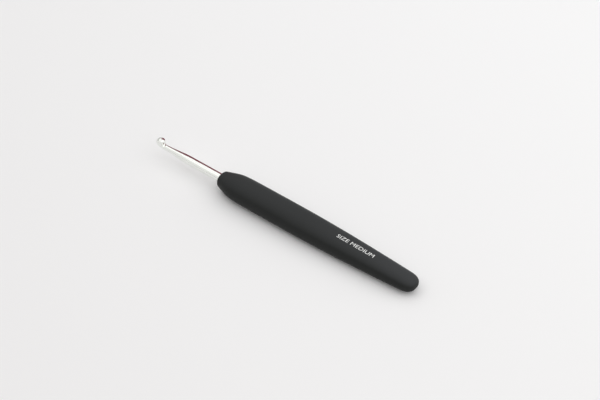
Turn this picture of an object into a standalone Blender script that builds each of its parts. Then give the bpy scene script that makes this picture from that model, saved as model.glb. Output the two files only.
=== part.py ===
"""Crochet hook with a soft-touch handle, 4 mm shank, lying on the flat belly of its grip.

Three bodies, nested like sleeves: the one-piece aluminium hook shaft with its tang, the hard
handle core moulded round the tang, and the soft grip moulded over the core.

World frame: the hook's tip points to -X, the butt to +X, the throat opens to +Z. The grip rests on
the flat under its balance point, which leaves the tip REST_TILT above the level. The origin is at
the centre of the bounding box's underside, in the plane of that flat.
"""

import math

import bmesh
import bpy
from mathutils import Vector

# ------------------------------------------------------------------ driving dimensions, millimetres
MM = 0.001
GAP = 0.3  # clearance between neighbouring bodies
REST_TILT = math.radians(0.9)  # how far the tool's axis rises towards the tip

LENGTH = 138.2  # tip of the nose to the butt of the grip
GRIP_FRONT = 37.4  # where the grip begins, measured from the tip
SHANK_RADIUS = 2.0  # a 4.0 mm hook
NECK_RADIUS = 1.23
NECK_END = 5.8  # the neck leaves the throat here
TAPER_END = 19.0  # and has reached the shank's full size here

TANG_END = 97.6
TANG_CHAMFER = 0.5
TANG_FLAT = (80.6, 92.6)  # the swaged stretch that stops the tang turning in the core
TANG_FLAT_BLEND = 2.0
TANG_FLAT_HALF_WIDTH = 2.7
TANG_FLAT_HALF_HEIGHT = 1.3

GRIP_HALF_WIDTH = 6.59  # at its widest, just ahead of the middle
GRIP_FRONT_HALF_WIDTH = 6.49
GRIP_BACK_HALF_WIDTH = 4.36
GRIP_WIDEST = 0.45  # share of the grip's length, from its front
WIDTH_TAPER_POWER = 1.44
GRIP_HALF_HEIGHT = 4.66  # as far back as the belly flat
GRIP_BACK_HALF_HEIGHT = 2.82
HEIGHT_TAPER_POWER = 1.3
CROWN_POWER = 2.29  # squareness of the section's upper half: 2 is an ellipse
BELLY_POWER = 2.0  # and of its lower half, beside the flat
BELLY_FLAT = (71.0, 101.0)  # the stretch of the belly the tool rests on
BELLY_FLAT_HALF_WIDTH = 1.8

FACE_HALF_WIDTH = 3.53  # the front face, before its rim is rounded
FACE_HALF_HEIGHT = 3.2
RIM_LENGTH = 0.8
RIM_DROP = 0.6
CONE_LENGTH = 8.0  # the straight cone between the front face and the shoulder
CONE_SHARPNESS = 5.0  # of the shoulder's corner
CONE_REACH = 20.0  # the shoulder has faded out here
BACK_ROUND = 5.73
BACK_ROUND_POWER = 2.7
BUTT_SHARE = 0.2  # size of the small flat at the very end, as a share of the section

GRIP_WALL = 1.0  # rubber over the core
CORE_FRONT_SETBACK = 7.0  # the grip's nose is solid rubber as far as this
CORE_BACK_SETBACK = 2.2
CORE_BACK_ROUND = 5.0

# ------------------------------------------------------------------ mesh density
HOOK_POINTS = 32  # points round a section
SHELL_POINTS = 36
CURVE_STEPS = 3  # rings between two head stations
TAPER_STEPS = 9
BACK_STEPS = 7
SHARP_ANGLE = math.radians(40.0)
NOSE_PLACES = (0.0, 0.1, 0.35, 0.8, 3.0, 4.8, 6.0, 6.9, 7.7, 8.6, 9.8, 11.6, 14.4)  # from the front

# The head in side view, from the lip's tip round the nose to the neck. Each station is a slice
# that fans out from the throat: its edge in the throat (x, z), its outer edge (x, z), its half
# width, and how square it is on the throat's side. x is from the tip, z from the shank's axis.
HEAD_STATIONS = (
    ((3.55, 3.22), (2.95, 3.42), 0.55, 2.2),
    ((3.92, 2.88), (1.90, 3.50), 1.30, 2.6),
    ((4.04, 2.45), (0.82, 3.10), 1.60, 3.0),
    ((4.04, 2.02), (0.15, 2.28), 1.74, 3.4),
    ((4.02, 1.66), (0.00, 1.55), 1.80, 3.4),
    ((4.05, 1.32), (0.25, 0.75), 1.75, 3.2),
    ((4.15, 1.04), (1.10, 0.05), 1.62, 3.0),
    ((4.32, 0.85), (2.35, -0.50), 1.45, 2.8),
    ((4.58, 0.78), (3.65, -0.90), 1.32, 2.6),
    ((4.84, 0.86), (4.65, -1.10), 1.26, 2.4),
    ((5.12, 1.04), (5.20, -1.18), 1.24, 2.1),
    ((5.42, 1.19), (5.50, -1.22), 1.23, 2.0),
    ((NECK_END, NECK_RADIUS), (NECK_END, -NECK_RADIUS), NECK_RADIUS, 2.0),
)


# ------------------------------------------------------------------ scene and mesh helpers
def clear_scene():
    for old in list(bpy.data.objects):
        bpy.data.objects.remove(old, do_unlink=True)


def principled(name, color, roughness, metallic):
    material = bpy.data.materials.new(name)
    material.use_nodes = True
    shader = material.node_tree.nodes["Principled BSDF"]
    shader.inputs["Base Color"].default_value = (*color, 1.0)
    shader.inputs["Roughness"].default_value = roughness
    shader.inputs["Metallic"].default_value = metallic
    return material


def loft(name, rings, material, parent):
    """Skin a run of equal-count rings, given in millimetres, and cap both ends."""
    bm = bmesh.new()
    loops = [[bm.verts.new(point * MM) for point in ring] for ring in rings]
    for near, far in zip(loops, loops[1:]):
        for i, start in enumerate(near):
            j = (i + 1) % len(near)
            bm.faces.new((start, near[j], far[j], far[i]))
    bm.faces.new(loops[0])
    bm.faces.new(loops[-1])
    bmesh.ops.recalc_face_normals(bm, faces=bm.faces)
    mesh = bpy.data.meshes.new(name)
    bm.to_mesh(mesh)
    bm.free()
    mesh.shade_smooth()
    mesh.set_sharp_from_angle(angle=SHARP_ANGLE)
    mesh.materials.append(material)
    body = bpy.data.objects.new(name, mesh)
    body.parent = parent
    bpy.context.collection.objects.link(body)
    return body


def spread(start, end, steps):
    """Evenly spaced places from start to end, both included."""
    return [start + (end - start) * i / steps for i in range(steps + 1)]


def signed_power(value, exponent):
    return math.copysign(abs(value) ** exponent, value)


def smoothstep(share):
    share = min(max(share, 0.0), 1.0)
    return share * share * (3.0 - 2.0 * share)


def catmull_rom(before, start, end, after, t):
    """Smooth value between start and end, by their neighbours."""
    slope = 0.5 * (end - before)
    next_slope = 0.5 * (after - start)
    gap = end - start
    square = 3 * gap - 2 * slope - next_slope
    cube = slope + next_slope - 2 * gap
    return start + t * (slope + t * (square + t * cube))


# ------------------------------------------------------------------ hook shaft
def hook_ring(throat_edge, outer_edge, half_width, throat_power):
    """One slice of the hook: elliptical outside, squarer on the throat's side."""
    inner = Vector((throat_edge[0], 0.0, throat_edge[1]))
    outer = Vector((outer_edge[0], 0.0, outer_edge[1]))
    centre = (inner + outer) / 2
    rise = (inner - outer) / 2
    ring = []
    for i in range(HOOK_POINTS):
        angle = math.tau * i / HOOK_POINTS
        power = throat_power if math.sin(angle) > 0 else 2.0
        across = half_width * signed_power(math.cos(angle), 2 / power)
        along = signed_power(math.sin(angle), 2 / power)
        ring.append(centre + rise * along + Vector((0.0, across, 0.0)))
    return ring


def head_rings():
    """Slices through the lip, nose and throat, smoothed between the head's stations."""
    rows = [(*inner, *outer, width, power) for inner, outer, width, power in HEAD_STATIONS]
    rings = []
    for k in range(len(rows) - 1):
        near = (rows[max(k - 1, 0)], rows[k], rows[k + 1], rows[min(k + 2, len(rows) - 1)])
        for step in range(CURVE_STEPS):
            row = [catmull_rom(*values, step / CURVE_STEPS) for values in zip(*near)]
            rings.append(hook_ring(row[0:2], row[2:4], row[4], row[5]))
    return rings


def shank_radius(x):
    share = smoothstep((x - NECK_END) / (TAPER_END - NECK_END))
    return NECK_RADIUS + (SHANK_RADIUS - NECK_RADIUS) * share


def flat_share(x):
    """How far the tang is swaged flat at x: 0 is round, 1 is fully flattened."""
    rise = smoothstep((x - TANG_FLAT[0]) / TANG_FLAT_BLEND)
    fall = smoothstep((TANG_FLAT[1] - x) / TANG_FLAT_BLEND)
    return min(rise, fall)


def tang_size(x):
    """Half width and half height of the shaft at x."""
    radius = shank_radius(x)
    share = flat_share(x)
    half_width = radius + (TANG_FLAT_HALF_WIDTH - radius) * share
    half_height = radius + (TANG_FLAT_HALF_HEIGHT - radius) * share
    return half_width, half_height


def flat_stations():
    """Places along the tang's flattened stretch, closer together where its size changes."""
    first, last = TANG_FLAT
    return spread(first, first + TANG_FLAT_BLEND, 2) + spread(last - TANG_FLAT_BLEND, last, 2)


def make_hook_shaft(parent):
    rings = head_rings()
    shaft = spread(NECK_END, TAPER_END, TAPER_STEPS) + [GRIP_FRONT] + flat_stations()
    for x in shaft + [TANG_END - TANG_CHAMFER]:
        half_width, half_height = tang_size(x)
        rings.append(hook_ring((x, half_height), (x, -half_height), half_width, 2.0))
    end_radius = SHANK_RADIUS - TANG_CHAMFER
    rings.append(hook_ring((TANG_END, end_radius), (TANG_END, -end_radius), end_radius, 2.0))
    material = principled("polished_aluminium", (0.83, 0.83, 0.82), 0.18, 1.0)
    return loft("hook_shaft", rings, material, parent)


# ------------------------------------------------------------------ handle core and grip
def shell_ring(x, half_width, half_height, flat_half_width):
    """A section with an oval crown and a flat along its belly, one side and then the other."""
    half = []
    for i in range(SHELL_POINTS // 2):
        angle = -math.pi / 2 + math.pi * i / (SHELL_POINTS // 2 - 0.5)
        flat = flat_half_width if angle < 0 else 0.0
        power = BELLY_POWER if angle < 0 else CROWN_POWER
        y = flat + (half_width - flat) * math.cos(angle) ** (2 / power)
        half.append((y, half_height * signed_power(math.sin(angle), 2 / power)))
    right = [Vector((x, y, z)) for y, z in half]
    left = [Vector((x, -y, z)) for y, z in reversed(half)]
    return right + left


def body_half_width(x):
    """Half width of the grip at x, before its ends are shaped."""
    share = (x - GRIP_FRONT) / (LENGTH - GRIP_FRONT)
    if share < GRIP_WIDEST:
        swell = 1.0 - share / GRIP_WIDEST
        return GRIP_HALF_WIDTH - (GRIP_HALF_WIDTH - GRIP_FRONT_HALF_WIDTH) * swell**2
    taper = (share - GRIP_WIDEST) / (1.0 - GRIP_WIDEST)
    return GRIP_HALF_WIDTH - (GRIP_HALF_WIDTH - GRIP_BACK_HALF_WIDTH) * taper**WIDTH_TAPER_POWER


def body_half_height(x):
    """Half height of the grip at x: level, then the slope of the rest, then the full taper."""
    flat_start, flat_end = BELLY_FLAT
    slope = math.tan(REST_TILT)
    half_height = GRIP_HALF_HEIGHT - slope * max(x - flat_start, 0.0)
    extra = GRIP_HALF_HEIGHT - slope * (LENGTH - flat_start) - GRIP_BACK_HALF_HEIGHT
    taper = max(x - flat_end, 0.0) / (LENGTH - flat_end)
    return half_height - extra * taper**HEIGHT_TAPER_POWER


def draw_in(half_size, face_half_size, along):
    """A half size along millimetres behind the front face: rounded rim, cone, shoulder."""
    cone = ((CONE_LENGTH / max(along, 1e-6)) ** CONE_SHARPNESS + 1.0) ** (-1.0 / CONE_SHARPNESS)
    into_rim = max(1.0 - along / RIM_LENGTH, 0.0)
    drop = RIM_DROP * (1.0 - math.sqrt(1.0 - into_rim**2))
    return face_half_size + (half_size - face_half_size) * cone - drop


def grip_size(x):
    """Half width and half height of the grip at x, before its back end is rounded."""
    half_width = body_half_width(x)
    half_height = body_half_height(x)
    along = x - GRIP_FRONT
    if along < CONE_REACH:
        half_width = draw_in(half_width, FACE_HALF_WIDTH, along)
        half_height = draw_in(half_height, FACE_HALF_HEIGHT, along)
    return half_width, half_height


def section_ring(x, inset, back_share):
    """The grip's section at x, moved in by inset and drawn in by the rounding of its back end."""
    half_width, half_height = grip_size(x)
    half_width -= inset
    half_height -= inset
    flat = BELLY_FLAT_HALF_WIDTH * half_width / GRIP_HALF_WIDTH
    return shell_ring(x, half_width * back_share, half_height * back_share, flat * back_share)


def back_rings(end, length, inset):
    """Rings from the end of a body forward to where its rounding begins."""
    rings = []
    for i in range(BACK_STEPS):
        share = math.cos(math.radians(90.0) * i / BACK_STEPS)
        rounding = (1.0 - share**BACK_ROUND_POWER) ** (1.0 / BACK_ROUND_POWER)
        rings.append(section_ring(end - length * (1.0 - share), inset, max(rounding, BUTT_SHARE)))
    return rings


def middle_rings(start, end, inset):
    """Rings from end forward to start, with one at each end of the belly flat."""
    flat_start, flat_end = BELLY_FLAT
    places = spread(end, flat_end, 6) + spread(flat_end, flat_start, 4)[1:]
    places += spread(flat_start, start, 4)[1:]
    return [section_ring(x, inset, 1.0) for x in places]


def round_ring(x, half_width, half_height):
    """A plain oval ring with the same point order as a shell's sections."""
    ring = []
    for i in range(SHELL_POINTS):
        angle = -math.pi / 2 + math.tau * (i + 0.5) / SHELL_POINTS
        ring.append(Vector((x, half_width * math.cos(angle), half_height * math.sin(angle))))
    return ring


def make_handle_core(parent):
    inset = GRIP_WALL + GAP
    start = GRIP_FRONT + CORE_FRONT_SETBACK
    end = LENGTH - CORE_BACK_SETBACK
    rings = back_rings(end, CORE_BACK_ROUND, inset)
    rings += middle_rings(start, end - CORE_BACK_ROUND, inset)
    for x in [start, *flat_stations(), TANG_END + GAP]:
        half_width, half_height = tang_size(x)
        rings.append(round_ring(x, half_width + GAP, half_height + GAP))
    material = principled("core_plastic", (0.10, 0.10, 0.11), 0.45, 0.0)
    return loft("handle_core", rings, material, parent)


def make_soft_grip(parent):
    hole = SHANK_RADIUS + GAP
    start = GRIP_FRONT + CORE_FRONT_SETBACK - GAP
    end = LENGTH - CORE_BACK_SETBACK + GAP
    cavity = back_rings(end, CORE_BACK_ROUND, GRIP_WALL)
    cavity += middle_rings(start, end - CORE_BACK_ROUND, GRIP_WALL)
    rings = back_rings(LENGTH, BACK_ROUND, 0.0)
    rings += middle_rings(GRIP_FRONT + CONE_REACH, LENGTH - BACK_ROUND, 0.0)
    rings += [section_ring(GRIP_FRONT + along, 0.0, 1.0) for along in reversed(NOSE_PLACES)]
    rings += [round_ring(GRIP_FRONT, hole, hole), round_ring(start, hole, hole)]
    rings += reversed(cavity)
    material = principled("soft_touch_rubber", (0.032, 0.034, 0.033), 0.62, 0.0)
    return loft("soft_grip", rings, material, parent)


# ------------------------------------------------------------------ assembly
def rest_on_floor(tool_axis, bodies):
    """Tilt the tool onto its belly flat and centre it over the origin."""
    tool_axis.rotation_euler = (0.0, REST_TILT, 0.0)
    turn = tool_axis.rotation_euler.to_matrix()
    points = [turn @ vertex.co for body in bodies for vertex in body.data.vertices]
    low = [min(point[k] for point in points) for k in range(3)]
    high = [max(point[k] for point in points) for k in range(3)]
    tool_axis.location = (-(low[0] + high[0]) / 2, 0.0, -low[2])


def main():
    clear_scene()
    tool_axis = bpy.data.objects.new("tool_axis", None)
    bpy.context.collection.objects.link(tool_axis)
    shaft = make_hook_shaft(tool_axis)
    core = make_handle_core(tool_axis)
    grip = make_soft_grip(tool_axis)
    rest_on_floor(tool_axis, (shaft, core, grip))


main()
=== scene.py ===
"""The looks of the crochet hook: a polished aluminium hook in a soft-touch charcoal grip.

Everything is in metres in the CAD frame: tip to -X, butt to +X, throat and crown to +Z.
"""

import math

import bmesh
import bpy
from mathutils import Matrix, Vector


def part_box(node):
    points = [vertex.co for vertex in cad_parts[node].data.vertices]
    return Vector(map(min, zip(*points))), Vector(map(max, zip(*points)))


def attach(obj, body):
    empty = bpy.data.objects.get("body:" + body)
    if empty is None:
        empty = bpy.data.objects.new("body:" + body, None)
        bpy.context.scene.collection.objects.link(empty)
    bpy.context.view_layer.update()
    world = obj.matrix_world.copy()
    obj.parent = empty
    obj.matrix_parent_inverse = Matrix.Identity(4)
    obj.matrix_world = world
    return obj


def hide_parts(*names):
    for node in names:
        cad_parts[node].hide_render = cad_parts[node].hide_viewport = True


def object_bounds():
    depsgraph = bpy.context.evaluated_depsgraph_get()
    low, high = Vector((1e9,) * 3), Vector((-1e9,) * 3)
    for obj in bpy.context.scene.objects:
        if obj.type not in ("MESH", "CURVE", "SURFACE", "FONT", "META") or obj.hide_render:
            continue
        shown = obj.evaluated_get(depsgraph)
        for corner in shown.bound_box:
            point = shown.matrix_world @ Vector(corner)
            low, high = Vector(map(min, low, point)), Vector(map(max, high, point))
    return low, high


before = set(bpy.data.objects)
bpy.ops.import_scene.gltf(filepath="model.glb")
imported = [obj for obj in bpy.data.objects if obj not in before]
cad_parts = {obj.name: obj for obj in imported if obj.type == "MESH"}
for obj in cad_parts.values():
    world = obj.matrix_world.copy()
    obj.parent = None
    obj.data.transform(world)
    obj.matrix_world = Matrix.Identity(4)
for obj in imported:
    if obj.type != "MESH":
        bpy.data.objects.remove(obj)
cad_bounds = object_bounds()

MM = 0.001
SHARP_ANGLE = 50.0  # faces that meet at more degrees than this keep a crisp edge

# ------------------------------------------------------------------ places read from the frame
GRIP_LOW, GRIP_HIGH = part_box("soft_grip")
GRIP_HALF_WIDTH = (GRIP_HIGH.y - GRIP_LOW.y) / 2 / MM

# ------------------------------------------------------------------ shape of the hook, millimetres
# Places along the tool are measured from its tip.
REST_TILT = math.radians(0.9)  # how far the tool's axis rises towards the tip
LENGTH = 138.2
GRIP_FRONT = 37.4
TANG_END = 97.6
TANG_CHAMFER = 0.5
SHANK_RADIUS = 2.0
NECK_RADIUS = 1.23
NECK_END = 5.8
TAPER_END = 19.0
ELLIPSE_POWER = 2.0  # a section's squareness: above this it is squarer than an ellipse
HOOK_POINTS = 96
CURVE_STEPS = 12
TAPER_STEPS = 60
LIP_CAP_SIZES = (0.05, 0.35, 0.7)  # of the first station, from the lip's very end
LIP_CAP_HEIGHT = 0.05
# Slices of the head that fan out from the throat: edge in the throat (x, z), outer edge (x, z),
# half width, squareness on the throat's side. x from the tip, z from the shank's axis.
HEAD_STATIONS = (
    ((3.55, 3.22), (2.95, 3.42), 0.55, 2.2),
    ((3.92, 2.88), (1.90, 3.50), 1.30, 2.6),
    ((4.04, 2.45), (0.82, 3.10), 1.60, 3.0),
    ((4.04, 2.02), (0.15, 2.28), 1.74, 3.4),
    ((4.02, 1.66), (0.00, 1.55), 1.80, 3.4),
    ((4.05, 1.32), (0.25, 0.75), 1.75, 3.2),
    ((4.15, 1.04), (1.10, 0.05), 1.62, 3.0),
    ((4.32, 0.85), (2.35, -0.50), 1.45, 2.8),
    ((4.58, 0.78), (3.65, -0.90), 1.32, 2.6),
    ((4.84, 0.86), (4.65, -1.10), 1.26, 2.4),
    ((5.12, 1.04), (5.20, -1.18), 1.24, 2.1),
    ((5.42, 1.19), (5.50, -1.22), 1.23, 2.0),
    ((NECK_END, NECK_RADIUS), (NECK_END, -NECK_RADIUS), NECK_RADIUS, 2.0),
)

# ------------------------------------------------------------------ shape of the grip, millimetres
GRIP_FRONT_HALF_WIDTH = 6.49
GRIP_BACK_HALF_WIDTH = 4.36
GRIP_WIDEST = 0.45  # share of the grip's length, from its front
WIDTH_TAPER_POWER = 1.44
GRIP_HALF_HEIGHT = 4.66
GRIP_BACK_HALF_HEIGHT = 2.82
HEIGHT_TAPER_POWER = 1.3
CROWN_POWER = 2.29
BELLY_FLAT = (71.0, 101.0)
BELLY_FLAT_HALF_WIDTH = 1.8
FACE_HALF_WIDTH = 3.53
FACE_HALF_HEIGHT = 3.2
RIM_LENGTH = 0.8
RIM_DROP = 0.6
CONE_LENGTH = 8.0
CONE_SHARPNESS = 5.0
CONE_REACH = 20.0  # where the cone has run out
NOSE_END = GRIP_FRONT + CONE_REACH
BACK_ROUND = 5.73
BACK_ROUND_POWER = 2.7
BACK_TIP = 0.004  # size of the last slice, as a share of the section
GRIP_WALL = 0.9
CAVITY_FRONT = GRIP_FRONT + 6.7
CAVITY_BACK = LENGTH - 1.9
CAVITY_ROUND = 5.0
SHANK_HOLE = SHANK_RADIUS + 0.12
HOLE_EDGE = ((0.0, 0.25), (0.08, 0.08), (0.25, 0.0))  # distance behind the face, added radius
SHELL_POINTS = 112
# Slices from the butt's rounding to the rim: taper, flat of the belly, level body, nose.
OUTSIDE_STOPS = (LENGTH - BACK_ROUND, BELLY_FLAT[1], BELLY_FLAT[0], NOSE_END, GRIP_FRONT + RIM_LENGTH)
OUTSIDE_STEPS = (24, 12, 8, 64)
BACK_STEPS = 40
RIM_STEPS = 12
CAVITY_STEPS = 24
CAVITY_BACK_STEPS = 12

# ------------------------------------------------------------------ the tool's place in the frame
AXIS_DROP = BELLY_FLAT[0] * math.sin(REST_TILT)  # how far the axis comes down before the flat
TOOL_X = GRIP_HIGH.x / MM - LENGTH * math.cos(REST_TILT)
TOOL_Z = GRIP_LOW.z / MM + AXIS_DROP + GRIP_HALF_HEIGHT * math.cos(REST_TILT)
TO_FRAME = Matrix.Translation((TOOL_X, 0.0, TOOL_Z)) @ Matrix.Rotation(REST_TILT, 4, "Y")

# ------------------------------------------------------------------ size mark, millimetres
MARK_TEXT = "SIZE MEDIUM"
MARK_CENTRE = 108.3  # from the tip
MARK_LENGTH = 18.2
MARK_CAP_HEIGHT = 1.85
MARK_THICKNESS = 0.03
MARK_BURIED = 0.02
MARK_STRIPS = 8  # the letters are cut lengthwise into these, so that they follow the crown
MARK_WELD = 1e-4  # points of the letters that are closer than this become one

# ------------------------------------------------------------------ looks: linear colours, metres
ALUMINIUM_COLORS = ((0.835, 0.850, 0.820), (0.890, 0.905, 0.870))
ALUMINIUM_ROUGHNESS = (0.10, 0.20)
DRAWN_LINES = (60.0, 4200.0, 4200.0)  # long along the tool, fine across it
RUBBER_COLORS = ((0.0205, 0.0216, 0.0210), (0.0250, 0.0263, 0.0257))
RUBBER_ROUGHNESS = (0.52, 0.60)
# Painted light on the rubber: its crown and far side are paler, and more so towards the butt
PAINTED_LIGHT_COLOR = (0.055, 0.057, 0.060)
PAINTED_LIGHT_FACES = (0.0, 0.45, 0.89)  # painted light: strongest on what faces up and a little to the far side
PAINTED_LIGHT_EDGE = 0.2  # no painted light where the cosine to that direction is lower
PAINTED_LIGHT_STRETCH = (0.015, 0.068)  # x over the rear half of the grip, where the painted light gets stronger towards the butt
PAINTED_LIGHT_STRENGTH = (0.44, 0.94)  # in front of that stretch, and at its end
CORE_COLORS = ((0.045, 0.046, 0.050), (0.060, 0.061, 0.065))
INK_COLORS = ((0.88, 0.88, 0.87), (0.55, 0.55, 0.55))
NOISE_MIDDLE = (0.3, 0.7)  # the part of a noise's range that is used in full
INK_WORN = (0.45, 0.75)  # the same for the places where the ink is thin

# ------------------------------------------------------------------ camera and stage, metres
CAMERA_AZIMUTH = 38.49
CAMERA_ELEVATION = 42.0
CAMERA_DISTANCE = 0.55349
CAMERA_LENS = 80.0
AIM = (0.00048, 0.0, 0.00451)
AIM_RIGHT = 0.008092
AIM_UP = 0.004766
FLOOR_HALF_SIZE = 3.0
FLOOR_GAP = 0.00002  # below the object, so that the two share no plane
FLOOR_PAINTED_LIGHT_TOWARDS = (0.31, 0.95, 0.0)  # direction in which painted light makes the floor paler
FLOOR_FADE = (-0.2, 0.2)  # where that starts and ends
# The floor's colour, from its plain tone to where painted light makes it palest
FLOOR_COLORS = ((0.855, 0.845, 0.850), (0.950, 0.948, 0.955))
TENT_COLOR = (1.0, 0.995, 0.99)
TENT_STRENGTH = 0.25  # radiance in every direction, before the two additions
TENT_LEAN = (0.12, 0.03, 0.0)  # added towards the butt and the far side
TENT_ENDS = (0.62, 0.0, 0.0)  # added towards both ends of the tool
PANEL_COLOR = (1.0, 1.0, 0.99)
TOP_SIZE = (3.3, 2.6)
TOP_PLACE = (0.60, 0.20, 1.0)
TOP_RADIANCE = 0.805
SIDE_SIZE = (1.0, 0.6)
SIDE_PLACE = (1.0, 1.2, 0.45)
SIDE_RADIANCE = 0.8
CARD_CENTRE_X = -0.052  # the cards curve round a point in the hook's taper
CARD_DISTANCE = 0.03  # radius of their curve
CARD_STEPS = 16
DARK_CARD_TURNS = (-12.0, 57.0)  # degrees from the far side towards the tip
DARK_CARD_RISE = (0.0, 52.0)  # degrees above the floor, from the centre of the cards' curve
DARK_CARD_COLOR = (0.19, 0.045, 0.066)
LIGHT_CARD_TURNS = (-20.0, 72.0)  # degrees from the near side towards the tip
LIGHT_CARD_RISE = (14.0, 50.0)
LIGHT_CARD_COLOR = (0.87, 0.87, 0.85)


# ------------------------------------------------------------------ mesh helpers
def add_piece(name, rings, material, replaced):
    """Skin equal-count rings given in tool millimetres, cap the ends, and ride on the root body."""
    bm = bmesh.new()
    loops = [[bm.verts.new((TO_FRAME @ point) * MM) for point in ring] for ring in rings]
    for near, far in zip(loops, loops[1:]):
        for i, start in enumerate(near):
            j = (i + 1) % len(near)
            bm.faces.new((start, near[j], far[j], far[i]))
    bm.faces.new(loops[0])
    bm.faces.new(loops[-1])
    bmesh.ops.recalc_face_normals(bm, faces=bm.faces)
    mesh = bpy.data.meshes.new(name)
    bm.to_mesh(mesh)
    bm.free()
    mesh.shade_smooth()
    mesh.set_sharp_from_angle(angle=math.radians(SHARP_ANGLE))
    mesh.materials.append(material)
    piece = bpy.data.objects.new(name, mesh)
    bpy.context.scene.collection.objects.link(piece)
    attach(piece, "root")
    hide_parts(replaced)


def spread(start, end, steps):
    """Evenly spaced places from start to end, both included."""
    return [start + (end - start) * i / steps for i in range(steps + 1)]


def signed_power(value, exponent):
    return math.copysign(abs(value) ** exponent, value)


def smoothstep(share):
    """Ease from 0 to 1, level at both ends, for a share in between."""
    return share * share * (3.0 - 2.0 * share)


def catmull_rom(before, start, end, after, t):
    """A smooth curve through the values, at share t of the way from start to end."""
    gap = end - start
    slope = 0.5 * (end - before)
    next_slope = 0.5 * (after - start)
    square = 3 * gap - 2 * slope - next_slope
    cube = slope + next_slope - 2 * gap
    return start + t * (slope + t * (square + t * cube))


# ------------------------------------------------------------------ hook
def hook_ring(throat_edge, outer_edge, half_width, throat_power=ELLIPSE_POWER):
    """A section between two edges in the tool's middle plane, squarer on the throat's side."""
    inner = Vector((throat_edge[0], 0.0, throat_edge[1]))
    outer = Vector((outer_edge[0], 0.0, outer_edge[1]))
    centre = (inner + outer) / 2
    rise = (inner - outer) / 2
    ring = []
    for i in range(HOOK_POINTS):
        angle = math.tau * i / HOOK_POINTS
        power = throat_power if math.sin(angle) > 0 else ELLIPSE_POWER
        across = half_width * signed_power(math.cos(angle), 2 / power)
        along = signed_power(math.sin(angle), 2 / power)
        ring.append(centre + rise * along + Vector((0.0, across, 0.0)))
    return ring


def lip_cap_rings():
    """Close the lip's end with slices that shrink towards its middle."""
    inner, outer, half_width, power = HEAD_STATIONS[0]
    middle_x, middle_z = [(a + b) / 2 for a, b in zip(inner, outer)]
    rings = []
    for size in LIP_CAP_SIZES:
        lift = LIP_CAP_HEIGHT * (1.0 - size**2)
        edges = [(middle_x + (x - middle_x) * size, middle_z + (z - middle_z) * size + lift)
                 for x, z in (inner, outer)]
        rings.append(hook_ring(*edges, half_width * size, power))
    return rings


def head_rings():
    """Sections on smooth curves through the head's stations."""
    rows = [(*inner, *outer, half_width, power) for inner, outer, half_width, power in HEAD_STATIONS]
    rows = [rows[0], *rows, rows[-1]]
    rings = []
    for stretch in zip(rows, rows[1:], rows[2:], rows[3:]):
        for step in range(CURVE_STEPS):
            row = [catmull_rom(*values, step / CURVE_STEPS) for values in zip(*stretch)]
            rings.append(hook_ring(row[0:2], row[2:4], row[4], row[5]))
    return rings


def make_hook():
    rings = lip_cap_rings() + head_rings()
    shaft = []
    for share in spread(0.0, 1.0, TAPER_STEPS):
        radius = NECK_RADIUS + (SHANK_RADIUS - NECK_RADIUS) * smoothstep(share)
        shaft.append((NECK_END + (TAPER_END - NECK_END) * share, radius))
    shaft += [(GRIP_FRONT, SHANK_RADIUS), (TANG_END - TANG_CHAMFER, SHANK_RADIUS)]
    shaft += [(TANG_END, SHANK_RADIUS - TANG_CHAMFER)]
    rings += [hook_ring((x, radius), (x, -radius), radius) for x, radius in shaft]
    add_piece("polished_hook", rings, aluminium(), "hook_shaft")


# ------------------------------------------------------------------ grip
def body_half_width(x):
    """Half width of the grip at x, before its ends are shaped."""
    share = (x - GRIP_FRONT) / (LENGTH - GRIP_FRONT)
    if share < GRIP_WIDEST:
        swell = 1.0 - share / GRIP_WIDEST
        return GRIP_HALF_WIDTH - (GRIP_HALF_WIDTH - GRIP_FRONT_HALF_WIDTH) * swell**2
    taper = (share - GRIP_WIDEST) / (1.0 - GRIP_WIDEST)
    return GRIP_HALF_WIDTH - (GRIP_HALF_WIDTH - GRIP_BACK_HALF_WIDTH) * taper**WIDTH_TAPER_POWER


def body_half_height(x):
    """Half height of the grip at x: level, then the slope of the rest, then the full taper."""
    flat_start, flat_end = BELLY_FLAT
    slope = math.tan(REST_TILT)
    half_height = GRIP_HALF_HEIGHT - slope * max(x - flat_start, 0.0)
    extra = GRIP_HALF_HEIGHT - slope * (LENGTH - flat_start) - GRIP_BACK_HALF_HEIGHT
    taper = max(x - flat_end, 0.0) / (LENGTH - flat_end)
    return half_height - extra * taper**HEIGHT_TAPER_POWER


def draw_in(half_size, face_half_size, along):
    """A half size at a distance behind the front face: rounded rim, cone, shoulder."""
    cone = along / (CONE_LENGTH**CONE_SHARPNESS + along**CONE_SHARPNESS) ** (1.0 / CONE_SHARPNESS)
    into_rim = max(1.0 - along / RIM_LENGTH, 0.0)
    drop = RIM_DROP * (1.0 - math.sqrt(1.0 - into_rim**2))
    return face_half_size + (half_size - face_half_size) * cone - drop


def grip_size(x):
    """Half width and half height of the grip at x, before its back end is rounded."""
    half_width = body_half_width(x)
    half_height = body_half_height(x)
    along = x - GRIP_FRONT
    if along < CONE_REACH:
        half_width = draw_in(half_width, FACE_HALF_WIDTH, along)
        half_height = draw_in(half_height, FACE_HALF_HEIGHT, along)
    return half_width, half_height


def shell_ring(x, half_width, half_height, flat_half_width):
    """A section with an oval crown and a flat along its belly, one side and then the other."""
    half = []
    for i in range(SHELL_POINTS // 2):
        angle = -math.pi / 2 + math.pi * i / (SHELL_POINTS // 2 - 0.5)
        flat = flat_half_width if angle < 0 else 0.0
        power = ELLIPSE_POWER if angle < 0 else CROWN_POWER
        y = flat + (half_width - flat) * math.cos(angle) ** (2 / power)
        half.append((y, half_height * signed_power(math.sin(angle), 2 / power)))
    right = [Vector((x, y, z)) for y, z in half]
    left = [Vector((x, -y, z)) for y, z in reversed(half)]
    return right + left


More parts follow.
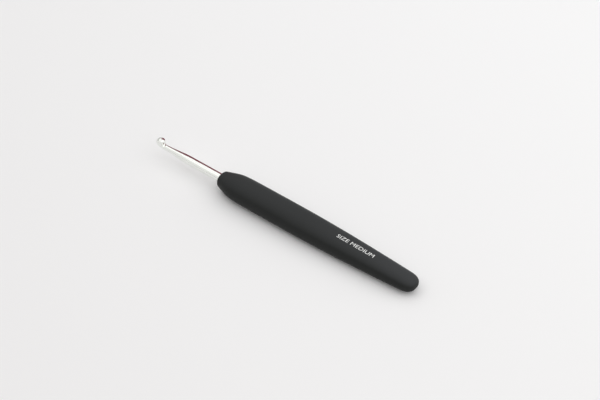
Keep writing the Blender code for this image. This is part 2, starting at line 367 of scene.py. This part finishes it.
def section_ring(x, inset=0.0, size=1.0):
    """The grip's section at x, inside its surface by the inset, and shrunk to a share."""
    half_width, half_height = grip_size(x)
    half_width -= inset
    half_height -= inset
    flat = BELLY_FLAT_HALF_WIDTH * half_width / GRIP_HALF_WIDTH
    return shell_ring(x, half_width * size, half_height * size, flat * size)


def back_rings(end, length, inset, steps):
    """The rounded back end of the grip or its cavity, from the very end forwards."""
    rings = []
    for i in range(steps):
        share = math.cos(math.radians(90.0) * i / steps)
        size = max((1.0 - share**BACK_ROUND_POWER) ** (1.0 / BACK_ROUND_POWER), BACK_TIP)
        rings.append(section_ring(end - length * (1.0 - share), inset, size))
    return rings


def round_ring(x, radius):
    """A circle with its points placed round it as those of a section are."""
    ring = []
    for i in range(SHELL_POINTS):
        angle = -math.pi / 2 + math.tau * (i + 0.5) / SHELL_POINTS
        ring.append(Vector((x, radius * math.cos(angle), radius * math.sin(angle))))
    return ring


def outside_places():
    """Where the grip's outside is sliced, from the butt's rounding forwards to the front face."""
    places = [OUTSIDE_STOPS[0]]
    for start, end, steps in zip(OUTSIDE_STOPS, OUTSIDE_STOPS[1:], OUTSIDE_STEPS):
        places += spread(start, end, steps)[1:]
    for i in range(1, RIM_STEPS + 1):
        share = 1.0 - math.sin(math.radians(90.0) * i / RIM_STEPS)
        places.append(GRIP_FRONT + RIM_LENGTH * share)
    return places


def make_grip():
    """One skin: outside from the butt to the face, in through the hole, and back along the cavity."""
    rings = back_rings(LENGTH, BACK_ROUND, 0.0, BACK_STEPS)
    rings += [section_ring(x) for x in outside_places()]
    for setback, widening in HOLE_EDGE:
        rings.append(round_ring(GRIP_FRONT + setback, SHANK_HOLE + widening))
    rings.append(round_ring(CAVITY_FRONT, SHANK_HOLE))
    for x in spread(CAVITY_FRONT, CAVITY_BACK - CAVITY_ROUND, CAVITY_STEPS):
        rings.append(section_ring(x, GRIP_WALL))
    rings += reversed(back_rings(CAVITY_BACK, CAVITY_ROUND, GRIP_WALL, CAVITY_BACK_STEPS))
    add_piece("soft_touch_grip", rings, soft_touch(), "soft_grip")


# ------------------------------------------------------------------ size mark
def grip_surface(x, y):
    """Height of the grip's crown above the tool's axis."""
    half_width, half_height = grip_size(x)
    return half_height * (1.0 - (abs(y) / half_width) ** CROWN_POWER) ** (1.0 / CROWN_POWER)


def text_mesh(text):
    """The text as a slab of any size, lying in the XY plane."""
    curve = bpy.data.curves.new("size_mark_outline", "FONT")
    curve.body = text
    curve.align_x = "CENTER"
    curve.align_y = "CENTER"
    curve.resolution_u = 4
    curve.extrude = 0.5
    outline = bpy.data.objects.new("size_mark_outline", curve)
    bpy.context.scene.collection.objects.link(outline)
    bpy.context.view_layer.update()
    mesh = bpy.data.meshes.new_from_object(outline)
    bpy.data.objects.remove(outline)
    return mesh


def make_size_mark():
    """Fit the words to their length and height, cut them into strips and lay them on the crown."""
    mesh = text_mesh(MARK_TEXT)
    bm = bmesh.new()
    bm.from_mesh(mesh)
    low = Vector([min(v.co[k] for v in bm.verts) for k in range(3)])
    high = Vector([max(v.co[k] for v in bm.verts) for k in range(3)])
    middle = (low + high) / 2
    span = high - low
    for vert in bm.verts:
        vert.co.x = MARK_CENTRE + (vert.co.x - middle.x) * MARK_LENGTH / span.x
        vert.co.y = (vert.co.y - middle.y) * MARK_CAP_HEIGHT / span.y
        vert.co.z = MARK_THICKNESS if vert.co.z > 0 else -MARK_BURIED
    bmesh.ops.remove_doubles(bm, verts=bm.verts, dist=MARK_WELD)
    for i in range(1, MARK_STRIPS):
        place = Vector((0.0, MARK_CAP_HEIGHT * (i / MARK_STRIPS - 0.5), 0.0))
        geometry = bm.verts[:] + bm.edges[:] + bm.faces[:]
        bmesh.ops.bisect_plane(bm, geom=geometry, plane_co=place, plane_no=(0, 1, 0))
    for vert in bm.verts:
        x, y, z = vert.co
        vert.co = (TO_FRAME @ Vector((x, y, grip_surface(x, y) + z))) * MM
    bmesh.ops.recalc_face_normals(bm, faces=bm.faces)
    bm.to_mesh(mesh)
    bm.free()
    mesh.name = "size_mark"
    mesh.materials.clear()
    mesh.materials.append(ink())
    piece = bpy.data.objects.new("size_mark", mesh)
    bpy.context.scene.collection.objects.link(piece)
    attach(piece, "root")


# ------------------------------------------------------------------ materials
def new_material(name):
    material = bpy.data.materials.new(name)
    material.use_nodes = True
    tree = material.node_tree
    return material, tree, tree.nodes["Principled BSDF"]


def feed(tree, node, values):
    """Set a node's inputs: a socket is linked, a number, a vector or a colour is a constant."""
    for key, value in values.items():
        socket = node.inputs[key]
        if isinstance(value, bpy.types.NodeSocket):
            tree.links.new(value, socket)
        elif socket.type == "RGBA":
            socket.default_value = (*value, 1.0)
        else:
            socket.default_value = value


def coordinates(tree, kind):
    """Texture coordinates of one kind: Object, Normal or Generated."""
    return tree.nodes.new("ShaderNodeTexCoord").outputs[kind]


def object_position(tree, scale=(1.0, 1.0, 1.0)):
    """Object coordinates in metres, stretched by scale on each axis."""
    mapping = tree.nodes.new("ShaderNodeMapping")
    feed(tree, mapping, {"Vector": coordinates(tree, "Object"), "Scale": scale})
    return mapping.outputs["Vector"]


def noise(tree, vector, scale, detail=2.0, roughness=0.5):
    node = tree.nodes.new("ShaderNodeTexNoise")
    feed(tree, node, {"Vector": vector, "Scale": scale, "Detail": detail, "Roughness": roughness})
    return node.outputs["Fac"]


def remap(tree, value, low, high, to_low=0.0, to_high=1.0):
    """Stretch the range from low to high to another one, and clamp what is outside it."""
    node = tree.nodes.new("ShaderNodeMapRange")
    feed(tree, node, {"Value": value, "From Min": low, "From Max": high})
    feed(tree, node, {"To Min": to_low, "To Max": to_high})
    return node.outputs["Result"]


def combine(tree, operation, first, second):
    """Arithmetic on two numbers, each a socket or a constant."""
    node = tree.nodes.new("ShaderNodeMath")
    node.operation = operation
    feed(tree, node, {0: first, 1: second})
    return node.outputs["Value"]


def combine_vectors(tree, operation, first, second, output="Vector"):
    """An operation on two vectors, each a socket or a constant."""
    node = tree.nodes.new("ShaderNodeVectorMath")
    node.operation = operation
    feed(tree, node, {0: first, 1: second})
    return node.outputs[output]


def dot(tree, first, second):
    return combine_vectors(tree, "DOT_PRODUCT", first, second, "Value")


def blend(tree, factor, first, second):
    """Mix two colours, each a socket or a constant."""
    node = tree.nodes.new("ShaderNodeMix")
    node.data_type = "RGBA"
    feed(tree, node, {"Factor": factor, "A": first, "B": second})
    return node.outputs["Result"]


def bump(tree, height, strength, distance):
    node = tree.nodes.new("ShaderNodeBump")
    feed(tree, node, {"Height": height, "Strength": strength, "Distance": distance})
    return node.outputs["Normal"]


def aluminium():
    """Polished drawn aluminium: long fine drawing lines and a faint cloudiness."""
    material, tree, shader = new_material("polished_aluminium_look")
    lines = noise(tree, object_position(tree, DRAWN_LINES), scale=1.0, detail=4.0, roughness=0.6)
    clouds = noise(tree, object_position(tree), scale=380.0)
    feed(tree, shader, {
        "Metallic": 1.0,
        "Base Color": blend(tree, clouds, *ALUMINIUM_COLORS),
        "Roughness": remap(tree, lines, *NOISE_MIDDLE, *ALUMINIUM_ROUGHNESS),
        "Normal": bump(tree, lines, strength=0.10, distance=0.00002),
    })
    return material


def soft_touch():
    """Soft-touch rubber: deep charcoal and a fine suede-like grain, with painted light that makes its
    crown and far side paler, more so towards the butt.
    """
    material, tree, shader = new_material("soft_touch_look")
    even = object_position(tree)
    grain = noise(tree, even, scale=9000.0, detail=3.0, roughness=0.6)
    mottle = noise(tree, even, scale=160.0, detail=3.0)
    # painted light: paler where the rubber faces up and to the far side, more so towards the butt
    crown = remap(tree, dot(tree, coordinates(tree, "Normal"), PAINTED_LIGHT_FACES), PAINTED_LIGHT_EDGE, 1.0)
    along = dot(tree, coordinates(tree, "Object"), (1.0, 0.0, 0.0))
    strength = remap(tree, along, *PAINTED_LIGHT_STRETCH, *PAINTED_LIGHT_STRENGTH)
    painted_light = combine(tree, "MULTIPLY", crown, strength)
    feed(tree, shader, {
        "Base Color": blend(tree, painted_light, blend(tree, mottle, *RUBBER_COLORS), PAINTED_LIGHT_COLOR),
        "Roughness": remap(tree, mottle, *NOISE_MIDDLE, *RUBBER_ROUGHNESS),
        "Normal": bump(tree, grain, strength=0.25, distance=0.00003),
        "IOR": 1.45,
        "Specular IOR Level": 0.12,
        "Sheen Weight": 0.10,
        "Sheen Roughness": 0.3,
    })
    return material


def core_plastic():
    """Hard grey plastic with a fine grain."""
    material, tree, shader = new_material("core_plastic_look")
    fine = noise(tree, object_position(tree), scale=3000.0)
    feed(tree, shader, {
        "Base Color": blend(tree, fine, *CORE_COLORS),
        "Roughness": 0.5,
        "Normal": bump(tree, fine, strength=0.2, distance=0.00003),
    })
    return material


def ink():
    """Pad-printed white ink, thin enough to grey a little in places."""
    material, tree, shader = new_material("size_mark_ink_look")
    patches = noise(tree, object_position(tree), scale=2600.0, detail=3.0, roughness=0.7)
    worn = remap(tree, patches, *INK_WORN)
    feed(tree, shader, {"Base Color": blend(tree, worn, *INK_COLORS), "Roughness": 0.6})
    return material


def pale_floor():
    """A matt floor with painted light that makes it slowly paler towards the far side."""
    material, tree, shader = new_material("painted_light_floor_look")
    # painted light: the floor gets paler towards the far side
    fade = remap(tree, dot(tree, coordinates(tree, "Object"), FLOOR_PAINTED_LIGHT_TOWARDS), *FLOOR_FADE)
    feed(tree, shader, {
        "Base Color": blend(tree, fade, *FLOOR_COLORS),
        "Roughness": 0.9,
        "Specular IOR Level": 0.1,
    })
    return material


def glow(name, color):
    """Even light of one colour, and nothing reflected."""
    material, tree, shader = new_material(name)
    feed(tree, shader, {
        "Base Color": (0.0, 0.0, 0.0),
        "Roughness": 1.0,
        "Specular IOR Level": 0.0,
        "Emission Color": color,
        "Emission Strength": 1.0,
    })
    return material


# ------------------------------------------------------------------ stage, light and camera
def make_floor():
    bm = bmesh.new()
    bmesh.ops.create_grid(bm, x_segments=1, y_segments=1, size=FLOOR_HALF_SIZE)
    mesh = bpy.data.meshes.new("floor")
    bm.to_mesh(mesh)
    bm.free()
    mesh.materials.append(pale_floor())
    floor = bpy.data.objects.new("floor", mesh)
    floor.location.z = cad_bounds[0].z - FLOOR_GAP
    bpy.context.scene.collection.objects.link(floor)


def make_world():
    """A pale tent round the object, brighter towards the ends of the tool."""
    world = bpy.data.worlds.new("soft_tent")
    world.use_nodes = True
    tree = world.node_tree
    direction = coordinates(tree, "Generated")
    squares = combine_vectors(tree, "MULTIPLY", direction, direction)
    added = combine(tree, "ADD", dot(tree, squares, TENT_ENDS), dot(tree, direction, TENT_LEAN))
    strength = combine(tree, "ADD", added, TENT_STRENGTH)
    feed(tree, tree.nodes["Background"], {"Color": TENT_COLOR, "Strength": strength})
    bpy.context.scene.world = world


def make_panel(name, size, place, radiance):
    """A large rectangular soft light that faces straight down."""
    light = bpy.data.lights.new(name, "AREA")
    light.shape = "RECTANGLE"
    light.size = size[0]
    light.size_y = size[1]
    light.energy = radiance * math.pi * size[0] * size[1]
    light.color = PANEL_COLOR
    panel = bpy.data.objects.new(name, light)
    panel.location = place
    bpy.context.scene.collection.objects.link(panel)
    return panel


def make_panels():
    """The bright top of the tent, level over the object, and a lower panel turned towards it."""
    make_panel("top_panel", TOP_SIZE, TOP_PLACE, TOP_RADIANCE)
    side = make_panel("side_panel", SIDE_SIZE, SIDE_PLACE, SIDE_RADIANCE)
    side.rotation_euler = Vector(SIDE_PLACE).to_track_quat("Z", "Y").to_euler()


def make_card(name, side, turns, rise, color):
    """A small curved card beside the hook, on its far side (1) or its near side (-1).

    It is seen only in reflections: not by the camera, and it neither lights nor shades matt surfaces.
    """
    bm = bmesh.new()
    columns = []
    heights = [CARD_DISTANCE * math.tan(math.radians(angle)) for angle in rise]
    for turn in spread(math.radians(turns[0]), math.radians(turns[1]), CARD_STEPS):
        x = CARD_CENTRE_X - math.sin(turn) * CARD_DISTANCE
        y = side * math.cos(turn) * CARD_DISTANCE
        columns.append([bm.verts.new((x, y, z)) for z in heights])
    for near, far in zip(columns, columns[1:]):
        bm.faces.new((near[0], far[0], far[1], near[1]))
    mesh = bpy.data.meshes.new(name)
    bm.to_mesh(mesh)
    bm.free()
    mesh.materials.append(glow(name + "_look", color))
    card = bpy.data.objects.new(name, mesh)
    card.visible_camera = False
    card.visible_diffuse = False
    card.visible_shadow = False
    bpy.context.scene.collection.objects.link(card)


def make_camera():
    """Look at the tool from its near side and the butt's end, with the aim shifted in the picture."""
    turn = math.radians(CAMERA_AZIMUTH)
    rise = math.radians(CAMERA_ELEVATION)
    back = Vector((math.sin(turn) * math.cos(rise), -math.cos(turn) * math.cos(rise), math.sin(rise)))
    right = Vector((math.cos(turn), math.sin(turn), 0.0))
    up = back.cross(right)
    aim = Vector(AIM) + right * AIM_RIGHT + up * AIM_UP
    data = bpy.data.cameras.new("camera")
    data.lens = CAMERA_LENS
    data.clip_start = 0.01
    camera = bpy.data.objects.new("camera", data)
    camera.location = aim + back * CAMERA_DISTANCE
    camera.rotation_mode = "QUATERNION"
    camera.rotation_quaternion = back.to_track_quat("Z", "Y")
    bpy.context.scene.collection.objects.link(camera)
    bpy.context.scene.camera = camera


def dress_core():
    """The core is out of sight: the CAD's own object stays and gets its look."""
    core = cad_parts["handle_core"]
    core.data.materials.clear()
    core.data.materials.append(core_plastic())


def main():
    bpy.context.scene.view_settings.view_transform = "Standard"
    bpy.context.scene.cycles.blur_glossy = 0.0  # keeps the light that the shank throws on the floor
    make_camera()
    make_floor()
    make_world()
    make_panels()
    make_card("dark_card", 1.0, DARK_CARD_TURNS, DARK_CARD_RISE, DARK_CARD_COLOR)
    make_card("light_card", -1.0, LIGHT_CARD_TURNS, LIGHT_CARD_RISE, LIGHT_CARD_COLOR)
    make_hook()
    make_grip()
    make_size_mark()
    dress_core()


main()
